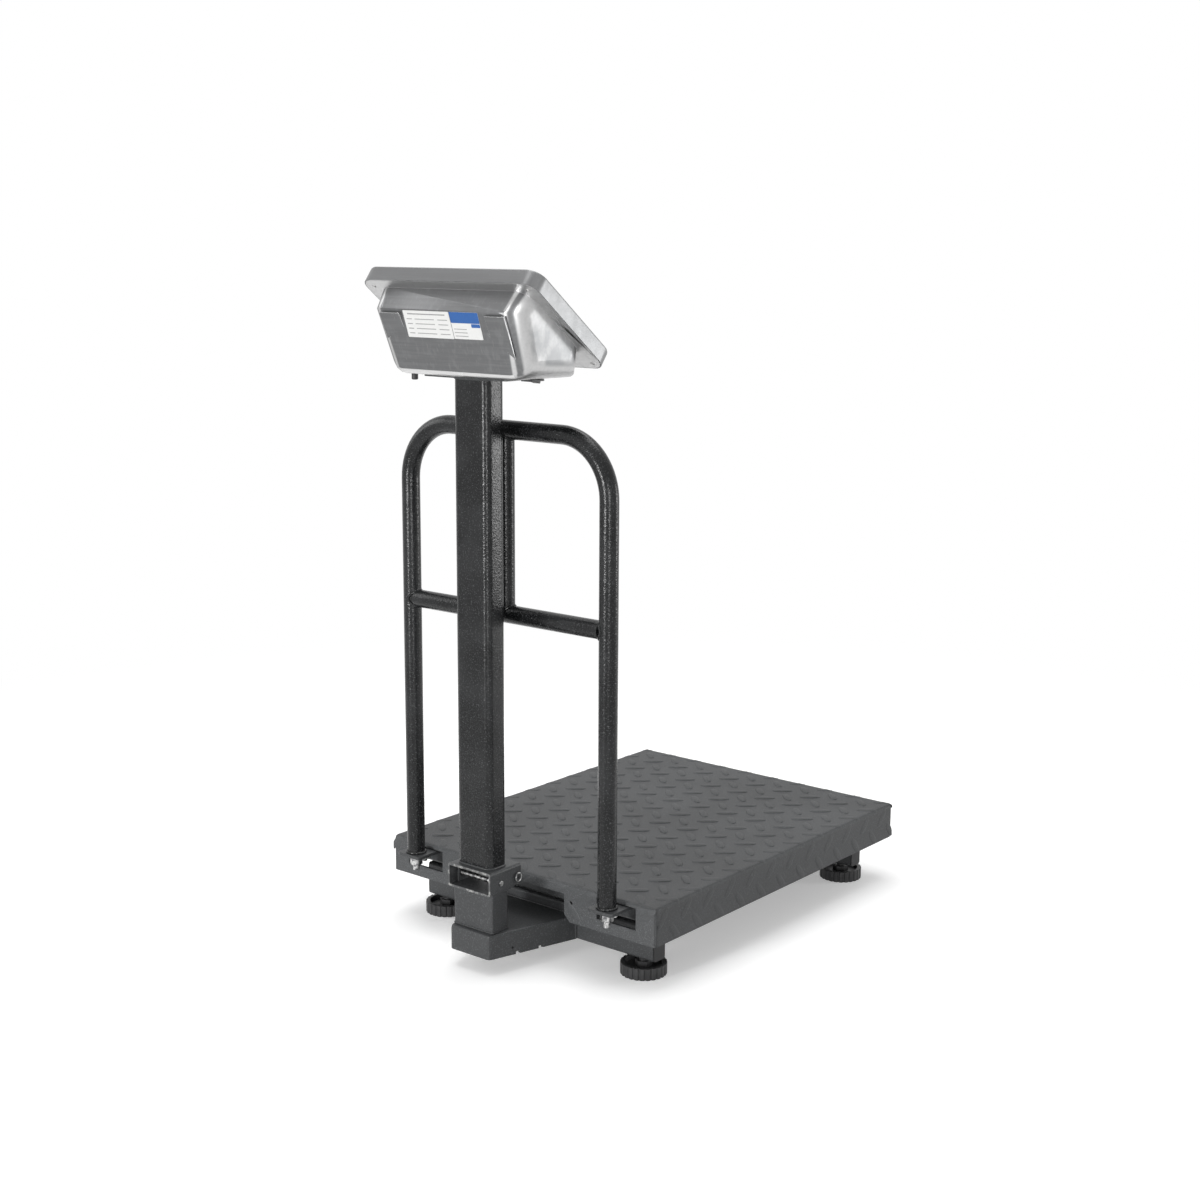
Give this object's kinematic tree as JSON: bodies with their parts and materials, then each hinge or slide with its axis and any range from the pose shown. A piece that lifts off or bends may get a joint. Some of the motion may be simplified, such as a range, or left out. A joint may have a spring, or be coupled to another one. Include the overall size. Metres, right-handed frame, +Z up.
{
  "type": "platform scale",
  "caption": "Platform scale with a tread-plate pan on a load cell, levelling feet, a guard rail behind the pan and a display head on a hinged column.",
  "frame": {"origin": "centre of the outer box, on the floor under the feet", "axes": "+X to the operator's right, +Y from the platform towards the column, +Z up"},
  "size_m": [0.4, 0.6142, 0.7762],
  "materials": {
    "hammer_paint": "dark grey hammer-effect paint on steel",
    "pan_paint": "matt dark grey textured paint on steel tread plate",
    "black_plastic": "black moulded plastic",
    "rubber": "black rubber",
    "zinc": "bright zinc-plated steel",
    "stainless": "brushed stainless steel sheet",
    "aluminium": "milled aluminium",
    "lens": "dark clear plastic window",
    "display": "liquid-crystal display panel",
    "key_plastic": "light grey moulded keys",
    "circuit_board": "green circuit board"
  },
  "bodies": {
    "base": {"base_centre_beam": "hammer_paint", "base_front_tube": "hammer_paint", "base_rear_tube": "hammer_paint", "column_arm": "hammer_paint", "column_post": "hammer_paint", "guard_rail_crossbar": "hammer_paint", "guard_rail_hoop": "hammer_paint", "guard_rail_upright": "hammer_paint", "hinge_saddle": "hammer_paint", "load_cell": "aluminium", "load_cell_base_bolt_1": "zinc", "load_cell_base_bolt_2": "zinc", "load_cell_base_spacer": "zinc", "load_cell_top_bolt_1": "zinc", "load_cell_top_bolt_2": "zinc", "load_cell_top_spacer": "zinc", "pan_pad_front_left": "rubber", "pan_pad_front_right": "rubber", "pan_pad_rear_left": "rubber", "pan_pad_rear_right": "rubber", "platform_pan": "pan_paint", "rail_nut_left": "zinc", "rail_nut_right": "zinc", "rail_stud_left": "zinc", "rail_stud_right": "zinc", "rail_tab_left": "hammer_paint", "rail_tab_right": "hammer_paint", "tube_plug_front_left": "black_plastic", "tube_plug_front_right": "black_plastic", "tube_plug_rear_left": "black_plastic", "tube_plug_rear_right": "black_plastic", "upper_centre_beam": "hammer_paint", "upper_front_tube": "hammer_paint", "upper_rear_tube": "hammer_paint"},
    "column_and_head": {"hinge_bracket": "hammer_paint", "hinge_pin": "hammer_paint", "lock_bolt": "zinc", "column": "hammer_paint", "head_mount_plate": "hammer_paint", "head_rear_shell": "stainless", "head_front_cover": "stainless", "display_lens": "lens", "display_module": "display", "main_board": "circuit_board", "battery": "black_plastic", "power_switch_body": "black_plastic", "fuse_cap": "black_plastic"},
    "foot_front_left_body": {"foot_front_left": "black_plastic"},
    "foot_front_right_body": {"foot_front_right": "black_plastic"},
    "foot_rear_left_body": {"foot_rear_left": "black_plastic"},
    "foot_rear_right_body": {"foot_rear_right": "black_plastic"},
    "rocker": {"power_rocker": "black_plastic"},
    "key_1_body": {"key_1": "key_plastic"},
    "key_2_body": {"key_2": "key_plastic"},
    "key_3_body": {"key_3": "key_plastic"},
    "key_4_body": {"key_4": "key_plastic"},
    "key_5_body": {"key_5": "key_plastic"},
    "key_6_body": {"key_6": "key_plastic"},
    "key_7_body": {"key_7": "key_plastic"},
    "key_8_body": {"key_8": "key_plastic"}
  },
  "joints": [
    {"name": "column_fold", "type": "hinge", "parent": "base", "child": "column_and_head", "pos_m": [0, 0.22837, 0.1065], "axis": [1, 0, 0], "range_deg": [0, 1.5]},
    {"name": "foot_front_left_height", "type": "slide", "parent": "base", "child": "foot_front_left_body", "axis": [0, 0, 1], "range_m": [-0.012, 0.003]},
    {"name": "foot_front_right_height", "type": "slide", "parent": "base", "child": "foot_front_right_body", "axis": [0, 0, 1], "range_m": [-0.012, 0.003]},
    {"name": "foot_rear_left_height", "type": "slide", "parent": "base", "child": "foot_rear_left_body", "axis": [0, 0, 1], "range_m": [-0.012, 0.003]},
    {"name": "foot_rear_right_height", "type": "slide", "parent": "base", "child": "foot_rear_right_body", "axis": [0, 0, 1], "range_m": [-0.012, 0.003]},
    {"name": "power_rocker_tilt", "type": "hinge", "parent": "column_and_head", "child": "rocker", "pos_m": [-0.0745, 0.24887, 0.6624], "axis": [-1, 0, 0], "range_deg": [0, 20]},
    {"name": "key_1_press", "type": "slide", "parent": "column_and_head", "child": "key_1_body", "axis": [0, 0.606, -0.7955], "range_m": [0, 0.0012], "stiffness_N_per_m": 350, "springref_m": -0.0012},
    {"name": "key_2_press", "type": "slide", "parent": "column_and_head", "child": "key_2_body", "axis": [0, 0.606, -0.7955], "range_m": [0, 0.0012], "stiffness_N_per_m": 350, "springref_m": -0.0012},
    {"name": "key_3_press", "type": "slide", "parent": "column_and_head", "child": "key_3_body", "axis": [0, 0.606, -0.7955], "range_m": [0, 0.0012], "stiffness_N_per_m": 350, "springref_m": -0.0012},
    {"name": "key_4_press", "type": "slide", "parent": "column_and_head", "child": "key_4_body", "axis": [0, 0.606, -0.7955], "range_m": [0, 0.0012], "stiffness_N_per_m": 350, "springref_m": -0.0012},
    {"name": "key_5_press", "type": "slide", "parent": "column_and_head", "child": "key_5_body", "axis": [0, 0.606, -0.7955], "range_m": [0, 0.0012], "stiffness_N_per_m": 350, "springref_m": -0.0012},
    {"name": "key_6_press", "type": "slide", "parent": "column_and_head", "child": "key_6_body", "axis": [0, 0.606, -0.7955], "range_m": [0, 0.0012], "stiffness_N_per_m": 350, "springref_m": -0.0012},
    {"name": "key_7_press", "type": "slide", "parent": "column_and_head", "child": "key_7_body", "axis": [0, 0.606, -0.7955], "range_m": [0, 0.0012], "stiffness_N_per_m": 350, "springref_m": -0.0012},
    {"name": "key_8_press", "type": "slide", "parent": "column_and_head", "child": "key_8_body", "axis": [0, 0.606, -0.7955], "range_m": [0, 0.0012], "stiffness_N_per_m": 350, "springref_m": -0.0012}
  ]
}
